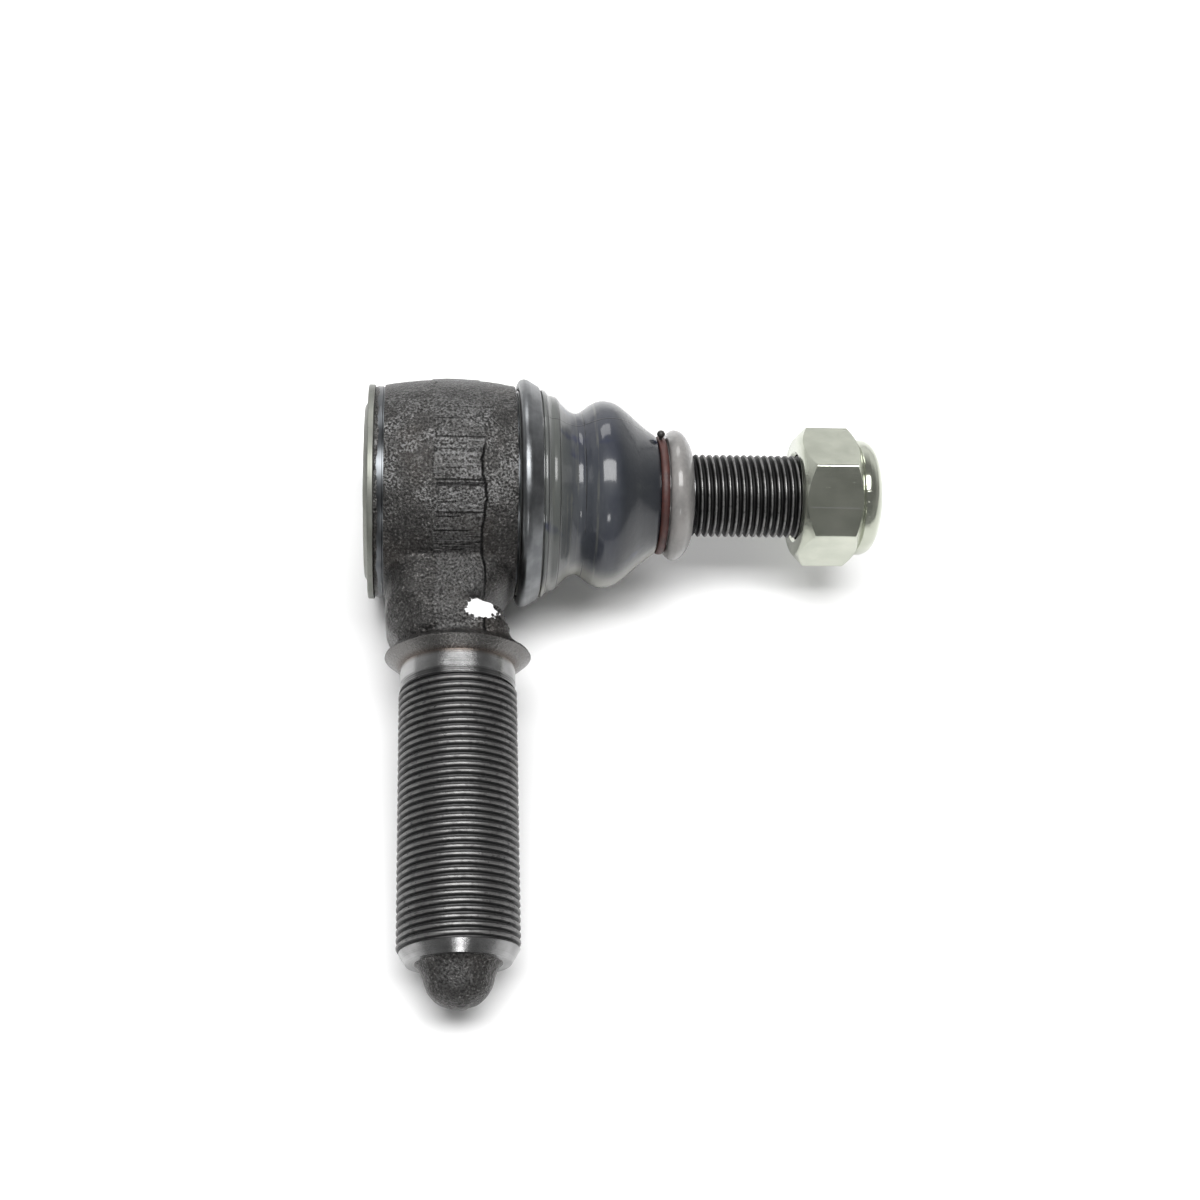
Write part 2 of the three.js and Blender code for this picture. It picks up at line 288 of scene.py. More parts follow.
class Value:
    """A number, colour or vector that a shader works out at every point of a surface."""

    def __init__(self, look, socket):
        self.look = look
        self.socket = socket

    def __add__(self, other):
        return self.look.maths("ADD", self, other)

    def __sub__(self, other):
        return self.look.maths("SUBTRACT", self, other)

    def __rsub__(self, other):
        return self.look.maths("SUBTRACT", other, self)

    def __mul__(self, other):
        return self.look.maths("MULTIPLY", self, other)

    def __truediv__(self, other):
        return self.look.maths("DIVIDE", self, other)

    def __abs__(self):
        return self.look.maths("ABSOLUTE", self)

    __radd__ = __add__
    __rmul__ = __mul__


class Look:
    """A material whose surface is one Principled shader, with places given in millimetres."""

    def __init__(self, name, **constants):
        self.material = bpy.data.materials.new(name)
        self.material.use_nodes = True
        self.tree = self.material.node_tree
        self.surface = self.tree.nodes["Principled BSDF"]
        for socket, value in constants.items():
            self.surface.inputs[socket.replace("_", " ")].default_value = value
        place = self.node("ShaderNodeTexCoord", output="Object")
        self.place = self.vector("SCALE", place, Scale=1 / MM)
        self.x, self.y, self.z = (self.node("ShaderNodeSeparateXYZ", inputs={"Vector": self.place}, output=k)
                                  for k in "XYZ")

    def node(self, kind, settings=(), inputs=(), output=0):
        node = self.tree.nodes.new(kind)
        for setting, value in dict(settings).items():
            setattr(node, setting, value)
        for socket, value in dict(inputs).items():
            self.connect(value, node.inputs[socket])
        return Value(self, node.outputs[output])

    def connect(self, value, socket):
        if isinstance(value, Value):
            self.tree.links.new(value.socket, socket)
        else:
            socket.default_value = value

    def maths(self, operation, *values):
        return self.node("ShaderNodeMath", {"operation": operation}, enumerate(values))

    def vector(self, operation, *values, **named):
        inputs = {**dict(enumerate(values)), **named}
        return self.node("ShaderNodeVectorMath", {"operation": operation}, inputs)

    def mix(self, factor, a, b):
        """Colour a where the factor is 0 and b where it is 1."""
        inputs = {0: factor, 6: a, 7: b}
        return self.node("ShaderNodeMix", {"data_type": "RGBA"}, inputs, output=2)

    def step(self, value, start, end):
        """0 before start, 1 after end, and a smooth rise between; it falls when end is the smaller."""
        low, high, first, last = (start, end, 0, 1) if start < end else (end, start, 1, 0)
        settings = {"interpolation_type": "SMOOTHSTEP"}
        inputs = {"Value": value, 1: low, 2: high, 3: first, 4: last}
        return self.node("ShaderNodeMapRange", settings, inputs)

    def band(self, value, start, end, edge):
        """1 between start and end, with soft edges."""
        return self.step(value, start - edge, start + edge) * self.step(value, end + edge, end - edge)

    def squeezed(self, x, y, z):
        """The place with each direction scaled, so that a pattern on it gets longer or shorter that way."""
        return self.vector("MULTIPLY", self.place, (x, y, z))

    def noise(self, size, detail=2, at=None, roughness=0.5):
        """Cloudy variation around 0.5, its features of a size in millimetres."""
        inputs = {"Vector": at or self.place, "Scale": 1 / size, "Detail": detail, "Roughness": roughness}
        return self.node("ShaderNodeTexNoise", inputs=inputs)

    def radius(self, axis):
        """Distance from the stud's or the shank's axis."""
        across = self.y if axis == STUD else self.x
        return self.maths("SQRT", across * across + self.z * self.z)

    def lathe_lines(self, axis, size):
        """Fine rings round an axis, as a turning tool leaves them."""
        along = self.x if axis == STUD else self.y
        rings = self.node("ShaderNodeCombineXYZ", inputs={0: along, 1: self.radius(axis)})
        return self.noise(size, 3, rings, 0.7)

    def finish(self, colour=None, roughness=None, metallic=None, coat=None, height=None, strength=1.0):
        """Connects what varies. Height is in millimetres."""
        wanted = {"Base Color": colour, "Roughness": roughness, "Metallic": metallic, "Coat Weight": coat}
        for socket, value in wanted.items():
            if value is not None:
                self.connect(value, self.surface.inputs[socket])
        if height is not None:
            bump = {"Height": height, "Distance": MM, "Strength": strength}
            self.connect(self.node("ShaderNodeBump", inputs=bump), self.surface.inputs["Normal"])
        return self.material


def grey(level, warmth=0.0):
    """A grey that is a little warmer or cooler."""
    return (level * (1 + warmth), level, level * (1 - warmth), 1)


# ---------------------------------------------------------------- materials


def forged_skin():
    """Shot-blasted forging: grainy dark grey with the sheared flash line round its middle."""
    look = Look("forged_skin", IOR=1.5)
    grain = look.noise(0.5, 3, roughness=0.6)
    fine = look.noise(0.28, 2)
    patches = look.noise(8, 3)
    rust = look.step(look.noise(13, 4), 0.5, 0.7)
    side = look.x - EDGE_WAVE * look.maths("SINE", look.y * EDGE_WAVES + 1) - look.noise(1.6, 3) * 0.9 + 0.45
    around = look.maths("MAXIMUM", look.step(look.y, -22, -20.5) * look.step(look.radius(STUD), 22.8, 23.3),
                        look.step(look.y, -37.8, -36) * look.step(abs(look.z), 8.5, 10))
    strip = look.band(side, -FLASH_HALF_WIDTH, FLASH_HALF_WIDTH, 0.25) * around
    across = look.squeezed(0.006, 1, 1)
    shear = look.noise(0.75, 2, across, 0.55)
    groups = look.step(look.noise(5.5, 1, across), 0.42, 0.52) * look.step(look.y, -20.6, -20)
    lines = look.step(shear, 0.445, 0.38) * groups * strip
    shiny = look.step(shear, 0.56, 0.66) * strip * groups
    step_line = look.band(side, FLASH_HALF_WIDTH - 0.15, FLASH_HALF_WIDTH + 0.3, 0.15) * around
    step_line = step_line * look.step(look.y, -1, -3) * look.step(look.z, 4, 8)
    level = look.mix(look.step(grain, 0.36, 0.58), grey(0.020, 0.02), grey(0.062, 0.03))
    level = look.mix(look.step(grain * 0.75 + fine * 0.25, 0.56, 0.68), level, grey(0.2, 0.03))
    level = look.mix(look.step(patches, 0.42, 0.72) * 0.45, level, grey(0.035, 0.02))
    level = look.mix(rust * 0.1, level, (0.085, 0.062, 0.045, 1))
    # Painted highlight: lighter flecks on the eye's top and bottom faces.
    lightened = look.step(abs(look.z), 16, 23) * look.step(look.noise(5, 2), 0.38, 0.62)
    level = look.mix(lightened * look.step(grain, 0.44, 0.62) * 0.6, level, grey(0.24))
    nub_patch = look.band(look.x + fine * 1.2, -3.7, 3.3, 0.35) * look.step(look.y, -101.8, -102.6)
    nub_patch = nub_patch * look.step(look.y, -108.2, -106)
    light = look.maths("MAXIMUM", strip, nub_patch) * look.step(grain, 0.34, 0.6)
    level = look.mix(light * 0.3, level, grey(0.13))
    level = look.mix(lines * 0.85, level, grey(0.008))
    level = look.mix(shiny * 0.5, level, grey(0.2))
    level = look.mix(step_line * 0.9, level, grey(0.006))
    below_edge = look.step(look.y, -COLLAR_EDGE + 0.1, -COLLAR_EDGE - 0.1) * look.step(look.y, -60, -50)
    level = look.mix(below_edge * 0.75, level, grey(0.17, 0.03))
    stain = look.step(look.y, -BAND_START + 1.2, -BAND_START) * below_edge
    level = look.mix(stain * 0.6, level, (0.05, 0.03, 0.02, 1))
    blot_from = look.vector("MULTIPLY", look.vector("SUBTRACT", look.place, BLOT), (0.72, 1.0, 0.1))
    blot_from = look.node("ShaderNodeVectorMath", {"operation": "LENGTH"}, {0: blot_from}, output="Value")
    blot = look.step(blot_from + look.noise(1.3, 3) * 3.2, 3.95, 3.7) * look.step(look.z, 6, 8)
    level = look.mix(blot, level, grey(0.9))
    calm = 1 - below_edge * 0.7
    bare_height = (grain * 0.42 + fine * 0.06) * calm + strip * 0.1 - lines * 0.22 - step_line * 0.25
    height = bare_height * (1 - blot)
    shine = 0.43 - grain * 0.16 + blot * 0.3 - below_edge * 0.08
    return look.finish(level, shine, (1 - blot) * 0.92, height=height, strength=0.85)


def turned_steel():
    """Machined steel with fine rings from the lathe and a few handling scratches."""
    look = Look("turned_steel", Metallic=1.0)
    rings = look.lathe_lines(STUD, 0.16)
    smears = look.noise(7, 3)
    scratch = look.step(look.noise(0.5, 2, look.squeezed(1, 0.08, 0.1)), 0.68, 0.74)
    level = look.mix(look.step(smears, 0.35, 0.7), grey(0.07, -0.06), grey(0.13, -0.05))
    level = look.mix(scratch * 0.5, level, grey(0.3))
    return look.finish(level, 0.2 + rings * 0.16 + smears * 0.06, height=rings * 0.012)


def ground_steel():
    """The ground band and the chamfer on the shank: bright, with run-out lines round them."""
    look = Look("ground_steel", Metallic=1.0)
    rings = look.lathe_lines(SHANK, 0.2)
    smears = look.noise(5, 3)
    level = look.mix(look.step(smears, 0.3, 0.7), grey(0.20), grey(0.33))
    level = look.mix(look.step(rings, 0.52, 0.72) * 0.5, level, grey(0.08))
    runout = look.band(look.y, -THREAD_FROM - 0.5, -BAND_END, 0.1)
    level = look.mix(runout * look.step(rings, 0.35, 0.55), level, grey(0.07))
    stain = look.step(look.y, -BAND_START - 0.9, -BAND_START) * look.step(look.y, -SHANK_END, -SHANK_END + 20)
    level = look.mix(stain * 0.7, level, (0.10, 0.07, 0.05, 1))
    return look.finish(level, 0.12 + rings * 0.22, height=rings * 0.014 + smears * 0.05)


def rolled_thread(name, axis, crest, root, dark, bright):
    """Dark oiled roots and rubbed bright crests, nicked here and there."""
    look = Look(name, Metallic=0.95)
    depth = look.step(look.radius(axis), root + 0.15, crest - 0.05)
    grime = look.noise(0.9, 3)
    wear = look.noise(2.6, 3)
    nick = look.step(look.noise(0.7, 2, look.squeezed(0.5, 1, 1)), 0.7, 0.76)
    lightened = look.step(depth * 0.75 + wear * 0.5, 0.75, 1.05)
    level = look.mix(lightened, grey(dark), grey(bright, 0.01))
    level = look.mix(look.step(grime, 0.52, 0.75) * 0.6, level, grey(0.03))
    level = look.mix(nick * depth, level, grey(0.01))
    return look.finish(level, 0.44 - lightened * 0.08 + grime * 0.16, height=grime * 0.04 - nick * 0.05)


def pressed_steel():
    look = Look("pressed_steel", Metallic=0.9)
    rings = look.lathe_lines(STUD, 0.3)
    tarnish = look.noise(6, 4)
    level = look.mix(look.step(tarnish, 0.35, 0.68), (0.155, 0.16, 0.14, 1), (0.205, 0.21, 0.19, 1))
    level = look.mix(look.step(look.noise(0.9, 3), 0.6, 0.75) * 0.5, level, grey(0.10))
    return look.finish(level, 0.32 + rings * 0.15 + tarnish * 0.1, height=rings * 0.012 + tarnish * 0.02)


def clamp_steel():
    look = Look("clamp_steel", Metallic=1.0)
    drawn = look.noise(0.25, 3, look.node("ShaderNodeCombineXYZ", inputs={0: look.x, 1: look.radius(STUD)}))
    dents = look.noise(3.5, 3)
    level = look.mix(look.step(dents, 0.3, 0.72), grey(0.13, -0.04), grey(0.20, -0.03))
    level = look.mix(look.step(look.noise(0.8, 3), 0.62, 0.74) * 0.4, level, grey(0.16))
    return look.finish(level, 0.24 + drawn * 0.18, height=drawn * 0.012 + dents * 0.05)


def spring_steel():
    look = Look("spring_steel", Metallic=0.95)
    temper = look.noise(5, 3)
    level = look.mix(temper, (0.05, 0.06, 0.09, 1), (0.16, 0.15, 0.15, 1))
    return look.finish(level, 0.3 + temper * 0.2, height=look.noise(0.5, 3) * 0.02)


def seat_plastic():
    look = Look("seat_plastic", IOR=1.48)
    grease = look.step(look.noise(5, 3), 0.5, 0.7)
    level = look.mix(grease, (0.76, 0.73, 0.64, 1), (0.42, 0.36, 0.25, 1))
    return look.finish(level, 0.5 - grease * 0.3, height=look.noise(0.6, 3) * 0.02)


def stud_steel():
    """The ball and the smooth lengths of the stud: polished and oiled."""
    look = Look("stud_steel", Metallic=1.0)
    rings = look.lathe_lines(STUD, 0.2)
    smears = look.noise(4, 3)
    level = look.mix(smears, grey(0.10, -0.02), grey(0.26))
    return look.finish(level, 0.2 + rings * 0.15, height=rings * 0.008)


def boot_rubber():
    """An opaque glassy skin coloured like a clear elastomer: dark over grease, milky where bare, with a
    painted rim light on its lower side and painted shade lines along its flange bends and valley crease.
    """
    look = Look("boot_rubber", IOR=1.45, Specular_IOR_Level=0.25,
                Coat_Weight=0.75, Coat_Roughness=0.11, Coat_IOR=1.5)
    smear = look.noise(7, 4, look.squeezed(1, 0.45, 0.45))
    spot = look.noise(6.5, 2)
    fine = look.noise(0.9, 3)
    drift = look.noise(14, 1) * 3
    streaks = look.noise(0.8, 2, look.node("ShaderNodeCombineXYZ", inputs={0: look.x, 1: drift}))
    bare = look.step(look.x + smear * 3, 27.5, 21.5)
    greased = look.step(look.x + smear * 2, 32.5, 35.5)
    level = look.mix(look.step(smear, 0.35, 0.65), (0.044, 0.048, 0.056, 1), (0.022, 0.025, 0.036, 1))
    level = look.mix(bare * 0.6, level, (0.10, 0.105, 0.095, 1))
    level = look.mix(greased * 0.9, level, (0.010, 0.012, 0.016, 1))
    level = look.mix(look.step(spot, 0.60, 0.72) * 0.8, level, (0.010, 0.014, 0.042, 1))
    streaks = streaks * look.step(look.x, 33, 29)
    level = look.mix(look.step(streaks, 0.54, 0.74) * 0.3, level, (0.15, 0.15, 0.12, 1))
    # Painted rim light: the boot's lower side is painted lighter and warmer.
    rim = look.step((look.y + look.z * 0.5) / look.radius(STUD), -0.88, -1.08)
    level = look.mix(rim * 0.75, level, (0.21, 0.21, 0.17, 1))
    seat = look.band(look.x, 18.6, 20.7, 0.2)
    level = look.mix(seat * 0.55, level, (0.06, 0.065, 0.06, 1))
    # Painted shade: near-black lines along the flange's two bends.
    painted_bend_shade = look.band(look.x, 20.6, 20.8, 0.08) + look.band(look.x, 18.15, 18.35, 0.1)
    level = look.mix(painted_bend_shade * 0.8, level, grey(0.008))
    # Painted shade: a broken dark line in the valley's crease.
    painted_crease_shade = look.band(look.x, 26.0, 26.2, 0.08) * look.step(look.noise(5, 2), 0.4, 0.55)
    level = look.mix(painted_crease_shade * 0.7, level, grey(0.012))
    lip = look.step(look.x, BAND_TO - 0.4, BAND_TO + 0.4)
    cloudy = look.step(fine * 0.15 + smear * 0.85, 0.36, 0.64)
    level = look.mix(lip, level, look.mix(cloudy, grey(0.13, 0.02), grey(0.22, 0.04)))
    slant = look.y - look.x * 0.09 + look.noise(6, 1) * 1.2
    hair = look.band(slant, 6.1, 6.28, 0.06) * look.step(look.z, 2, 6)
    hair = hair * look.band(look.x, 17, 42, 1)
    level = look.mix(hair * 0.8, level, grey(0.006))
    height = look.noise(1.6, 3) * 0.05 + streaks * 0.04 - painted_bend_shade * 0.15 - painted_crease_shade * 0.1 + hair * 0.04
    return look.finish(level, 0.34 + smear * 0.2, height=height)


def band_rubber():
    look = Look("band_rubber", IOR=1.5)
    dust = look.noise(2.2, 4)
    level = look.mix(look.step(dust, 0.35, 0.7), (0.062, 0.019, 0.015, 1), (0.036, 0.013, 0.011, 1))
    return look.finish(level, 0.42 + dust * 0.2, height=look.noise(0.6, 3) * 0.04)


def knob_rubber():
    look = Look("knob_rubber", IOR=1.5)
    dust = look.noise(0.6, 3)
    level = look.mix(dust, (0.006, 0.006, 0.006, 1), (0.03, 0.027, 0.024, 1))
    return look.finish(level, 0.3 + dust * 0.2, height=dust * 0.03)


def zinc_plate():
    """Bright zinc with a pale yellow-green cast, satin on the flats and polished on the collar."""
    look = Look("zinc_plate", Metallic=0.92)
    cloud = look.noise(6, 4)
    brushed = look.noise(0.35, 3, look.squeezed(0.12, 1, 1), 0.7)
    collar = look.step(look.x, HEX_TO - 0.1, HEX_TO + 0.4)
    level = look.mix(look.step(cloud, 0.3, 0.7), (0.43, 0.45, 0.38, 1), (0.53, 0.55, 0.47, 1))
    along = look.band(look.x, NUT_FROM + 1, HEX_TO - 1, 0.2)
    scribe = look.band(look.y + look.x * 0.01, -7.25, -7.1, 0.07) * along
    scribe = scribe * look.step(look.z, 7, 8)
    scuff = look.step(look.noise(0.8, 3, look.squeezed(0.3, 1, 1)), 0.66, 0.76)
    level = look.mix(scribe * 0.5, level, grey(0.85))
    level = look.mix(scuff * 0.3, level, grey(0.30))
    rough = 0.13 + brushed * 0.12 - collar * 0.08
    return look.finish(level, rough, height=brushed * 0.02 + cloud * 0.1 + scuff * 0.03, strength=0.8)


def nylon():
    look = Look("nylon", IOR=1.53)
    look.surface.inputs["Subsurface Weight"].default_value = 0.2
    look.surface.inputs["Subsurface Scale"].default_value = 1 * MM
    cloud = look.noise(2.5, 3)
    level = look.mix(cloud, (0.74, 0.74, 0.68, 1), (0.62, 0.62, 0.55, 1))
    return look.finish(level, 0.4 + cloud * 0.1, height=look.noise(0.5, 3) * 0.02)


def table_top():
    look = Look("pale_table", IOR=1.45)
    cloud = look.noise(60, 3)
    level = look.mix(cloud, (0.90, 0.90, 0.90, 1), (0.93, 0.93, 0.93, 1))
    return look.finish(level, 0.7, height=look.noise(0.8, 2) * 0.01)


FORGED = forged_skin()
TURNED = turned_steel()
GROUND = ground_steel()
SHANK_THREAD = rolled_thread("shank_thread_steel", SHANK, SHANK_RADIUS, SHANK_ROOT, 0.055, 0.17)
STUD_THREAD = rolled_thread("stud_thread_steel", STUD, STUD_RADIUS, STUD_ROOT, 0.016, 0.21)
STUD_STEEL = stud_steel()


def painted(piece, material):
    piece.data.materials.clear()
    piece.data.materials.append(material)
    return piece


# ---------------------------------------------------------------- the housing


def barrel():
    """The eye as forged: a barrel, longer than it will be once its ends are machined."""
    steps = 24
    places = [EYE_FACE - 2 + (EYE_TO + 4 - EYE_FACE) * i / steps for i in range(steps + 1)]
    crown = [(x, CROWN - CROWN_BEND * (x - CROWN_AT) ** 2) for x in places]
    return turned("barrel", [(places[0], 0), *crown, (places[-1], 0)], 144)


def spigot_blank():
    radius = 21.5
    return turned("spigot_blank", [
        (EYE_TO - 3, 0), (EYE_TO - 3, radius), (SPIGOT_TO + 1, radius), (SPIGOT_TO + 1, 0),
    ], 96)


def neck():
    """A rounded block under the eye, straight on its left, with a waist on its right."""
    waist = smooth([
        (20, 11.8), (25.3, 10.8), (28.9, 9.6), (31.4, 9.8), (33.9, 10.9), (36.5, 13.3), (38.3, 15),
    ], 5)
    depth = smooth([(20, 12.4), (28.9, 12.5), (33.9, 13.2), (38.3, 13.6)], 8)
    right = waist[0][1]
    top = 8
    rounding = 7.5
    width = right - NECK_LEFT
    bpy.ops.object.select_all(action="DESELECT")
    middle = Vector(((right + NECK_LEFT) / 2, -(top + COLLAR_EDGE) / 2, 0)) * MM
    size = Vector((width, COLLAR_EDGE - top, 2 * NECK_HALF_DEPTH)) * MM
    bpy.ops.mesh.primitive_cube_add(size=1, location=middle, scale=size)
    block = bpy.context.object
    bpy.ops.object.transform_apply()
    edit(block)
    bpy.ops.mesh.select_all(action="DESELECT")
    bpy.ops.object.mode_set(mode="OBJECT")
    for edge in block.data.edges:
        first, last = (block.data.vertices[i].co for i in edge.vertices)
        edge.select = abs(first.y - last.y) > MM
    bpy.ops.object.mode_set(mode="EDIT")
    bpy.ops.mesh.bevel(offset=rounding * MM, segments=8, affect="EDGES")
    for along, reach in waist[1:]:
        half = next(d[1] + (e[1] - d[1]) * (along - d[0]) / (e[0] - d[0])
                    for d, e in zip(depth, depth[1:]) if d[0] <= along <= e[0])
        if along < COLLAR_EDGE:
            bpy.ops.mesh.select_all(action="SELECT")
            bpy.ops.mesh.bisect(plane_co=(0, -along * MM, 0), plane_no=(0, 1, 0), threshold=CUT_TOLERANCE)
        else:
            select(block, lambda x, y, z: y < -COLLAR_EDGE + 0.01)
        grow = ((reach - NECK_LEFT) / width, 1, half / NECK_HALF_DEPTH)
        bpy.ops.transform.resize(value=grow, center_override=(NECK_LEFT * MM, 0, 0))
    close_up()
    done()
    return block


def oval(piece):
    """Flattens a piece turned about the shank to the collar's oval."""
    edit(piece)
    bpy.ops.transform.resize(value=(1, 1, COLLAR_HALF_DEPTH / COLLAR_RADIUS), center_override=(0, 0, 0))
    done()
    return piece


def neck_envelope():
    """Rounds the neck's corners off as it comes down to the collar."""
    return oval(turned("neck_envelope", [
        (5, 0), (5, 24), (26, 18.5), (30, 16.1), (33, 15.1), (36, 14.8), (COLLAR_EDGE, COLLAR_RADIUS),
        (COLLAR_EDGE + 1, COLLAR_RADIUS), (COLLAR_EDGE + 1, 0),
    ], 96, SHANK))


def collar_blank():
    """The forging's oval lower end, before its edge is cut."""
    return oval(turned("collar", [
        (35, 0), (35, 10.8), (36.5, 13), (37.6, 14.4), (38.1, COLLAR_RADIUS), (42, COLLAR_RADIUS), (42, 0),
    ], 96, SHANK))


def edge_cut():
    """The cone from the collar's oval edge down to the round ground band."""
    far = 26
    cone = turned("edge_cut", [
        (COLLAR_EDGE, COLLAR_RADIUS - 0.1), (COLLAR_EDGE, far), (BAND_START + 3, far),
        (BAND_START + 3, BAND_RADIUS - 0.6), (BAND_START, BAND_RADIUS - 0.05),
    ], 128, SHANK)
    edit(cone)
    select(cone, lambda x, y, z: y > -COLLAR_EDGE - 0.01 and hypot(x, z) < far - 1)
    bpy.ops.transform.resize(value=(1, 1, COLLAR_HALF_DEPTH / COLLAR_RADIUS), center_override=(0, 0, 0))
    done()
    return painted(cone, FORGED)


def is_flash(x, y, z):
    """The strip round the forging where its flash was sheared off, with a wavering edge."""
    on_head = y > -22 and hypot(y, z) > 22.5
    on_neck = -37 < y <= -20 and abs(z) > 9
    return abs(x - EDGE_WAVE * sin(y * EDGE_WAVES + 1)) < FLASH_HALF_WIDTH and (on_head or on_neck)


def machining():
    """Everything that the lathe takes off the eye: its faces, bore, mouth and the boot's spigot."""
    far = 32
    bore_end = 8.2
    mouth = 11.8
    mouth_flare = 16.2
    groove = 19.6
    groove_from = 13.1
    groove_to = 15.5
    outline = [
        (-far, 0), (-far, far), (TURNED_TO, far), (TURNED_TO, TURNED_RADIUS - 0.15),
        (TURNED_TO - 0.25, TURNED_RADIUS - 0.15), (TURNED_TO - 0.35, TURNED_RADIUS),
        (EYE_FACE + 0.15, TURNED_RADIUS), (EYE_FACE, TURNED_RADIUS - 0.15), (EYE_FACE, BORE + 0.3),
        (EYE_FACE + 0.3, BORE), (bore_end, BORE), (bore_end, mouth), (SPIGOT_TO, mouth_flare),
        (SPIGOT_TO, SPIGOT_RADIUS - 0.4), (SPIGOT_TO - 0.4, SPIGOT_RADIUS), (groove_to, SPIGOT_RADIUS),
        (groove_to, groove), (groove_from, groove), (groove_from, SPIGOT_RADIUS),
        (EYE_TO, SPIGOT_RADIUS), (EYE_TO, far), (far, far), (far, 0),
    ]
    return painted(turned("machining", outline, 144), TURNED)


def nub():
    """The stub left at the shank's end, as forged."""
    profile = smooth([
        (CHAMFER_END + 0.5, NUB_RADIUS), (103, 7.35), (104, 7.0), (105, 6.7), (106, 6.3), (107, 5.8),
        (108, 5.0), (109.1, 3.5), (109.9, 1.6),
    ], 4)
    foot = NUB_RADIUS + 0.6
    tip = 110.1
    stub = turned("nub", [
        (CHAMFER_END - 1, 0), (CHAMFER_END - 1, foot), (CHAMFER_END + 0.02, foot), *profile, (tip, 0),
    ], 72, SHANK)
    lumpy(stub, 2.2, 0.3)
    return painted(stub, FORGED)


def shank_envelope():
    """The turned outline that trims the thread's ends."""
    runout = SHANK_ROOT + 0.3
    return painted(turned("shank_envelope", [
        (BAND_END + 0.1, 0), (BAND_END + 0.1, runout), (THREAD_FROM - 0.2, runout),
        (THREAD_FROM + 0.4, SHANK_RADIUS + 0.1), (SHANK_END - 0.14, SHANK_RADIUS + 0.1),
        (CHAMFER_END, CHAMFER_RADIUS), (CHAMFER_END, 0),
    ], 128, SHANK), GROUND)


def ground_band():
    return painted(turned("ground_band", [
        (35, 0), (35, BAND_RADIUS - 1), (38, BAND_RADIUS), (BAND_END, BAND_RADIUS),
        (BAND_END + 0.1, BAND_RADIUS - 0.08), (THREAD_FROM - 0.3, BAND_RADIUS - 0.08),
        (THREAD_FROM, SHANK_ROOT - 0.3), (THREAD_FROM, 0),
    ], 128, SHANK), GROUND)


def housing():
    forging = barrel()
    column = neck()
    combine(column, neck_envelope(), "INTERSECT")
    for part in (spigot_blank(), column, collar_blank()):
        combine(forging, part, "UNION")
    voxel = 0.5
    sheared_height = 0.16
    apply(forging, "REMESH", mode="VOXEL", voxel_size=voxel * MM)
    apply(forging, "SMOOTH", factor=0.5, iterations=5)
    edit(forging)
    select(forging, is_flash)
    bpy.ops.transform.shrink_fatten(value=sheared_height * MM)
    done()
    lumpy(forging, 8, 0.3)
    lumpy(forging, 1.4, 0.14)
    painted(forging, FORGED)
    combine(forging, machining(), "DIFFERENCE")
    combine(forging, edge_cut(), "DIFFERENCE")
    thread = thread_rod("shank_thread", SHANK, (BAND_START, SHANK_TIP), SHANK_RADIUS, SHANK_ROOT,
                        SHANK_CREST_AT, SHANK_CREST_WIDTH, 96)
    painted(thread, SHANK_THREAD)
    combine(thread, shank_envelope(), "INTERSECT")
    for part in (ground_band(), thread, nub()):
        combine(forging, part, "UNION")
    forging.name = "forged_housing"
    forging.data.name = "forged_housing"
    finish_mesh(forging, 32)
    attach(forging, "housing")
    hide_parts("housing")


# ---------------------------------------------------------------- the socket


def end_cap():
    over = CAP_FROM + 1.3
    under = EYE_FACE - 0.06
    flange = CAP_RADIUS
    rim = BORE - GAP
    dome = smooth([
        (over, 19.2), (over - 0.55, 18.4), (over - 0.8, 17.2), (CAP_FROM + 0.35, 10), (CAP_FROM, 3.5),
    ], 8)
    outline = [
        (CAP_FROM + 2, 0), (CAP_FROM + 2.35, rim * 0.55), (CAP_TO - 0.3, rim - 1.8), (CAP_TO, rim - 1.5),
        (CAP_TO, rim - 0.2), (CAP_TO - 0.2, rim), (under, rim), (under, flange - 0.15),
        (under - 0.15, flange), *arc(0.3, 90, 180, 5, (over + 0.3, flange - 0.3)),
        (over, 19.7), *dome, (CAP_FROM, 0),
    ]
    cap = painted(turned("closing_cap", outline, 144), pressed_steel())
    finish_mesh(cap, 40)
    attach(cap, "housing")
    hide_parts("end_cap")


def disc_spring():
    thickness = 1.0
    inner = 7
    outline = [
        (SPRING_FROM, SPRING_RADIUS - 0.15), (SPRING_FROM + 0.15, SPRING_RADIUS),
        (SPRING_FROM + thickness - 0.15, SPRING_RADIUS), (SPRING_FROM + thickness, SPRING_RADIUS - 0.15),
        (SPRING_TO, inner + 0.15), (SPRING_TO - 0.15, inner), (SPRING_TO - thickness + 0.15, inner),
        (SPRING_TO - thickness, inner + 0.15),
    ]
    spring = painted(turned("disc_spring", outline, 96), spring_steel())
    finish_mesh(spring)
    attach(spring, "housing")
    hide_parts("preload_spring")


def ball_seats():
    cup = BALL + GAP
    plastic = seat_plastic()
    rear_hole = 5.5
    back_angle = 180 - asin(rear_hole / cup) * 180 / pi
    rear_cup = arc(cup, back_angle, 91.5, 20)
    rear = [(REAR_FROM, rear_hole), *rear_cup, (rear_cup[-1][0], SEAT_RADIUS), (REAR_FROM + 1.3, SEAT_RADIUS),
            (REAR_FROM, SEAT_RADIUS - 1.7)]
    front_angle = atan2(sqrt(cup ** 2 - FRONT_TO ** 2), FRONT_TO) * 180 / pi
    front_cup = arc(cup, 88.5, front_angle, 12)
    front = [(front_cup[0][0], SEAT_RADIUS), *front_cup, (FRONT_TO, SEAT_RADIUS - 0.4),
             (FRONT_TO - 0.4, SEAT_RADIUS)]
    seats = (("rear_seat", rear, "rear_ball_seat"), ("front_seat", front, "front_ball_seat"))
    for name, outline, node in seats:
        seat = painted(turned(name, outline, 96), plastic)
        finish_mesh(seat)
        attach(seat, "housing")
        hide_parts(node)


# ---------------------------------------------------------------- the stud and its nut


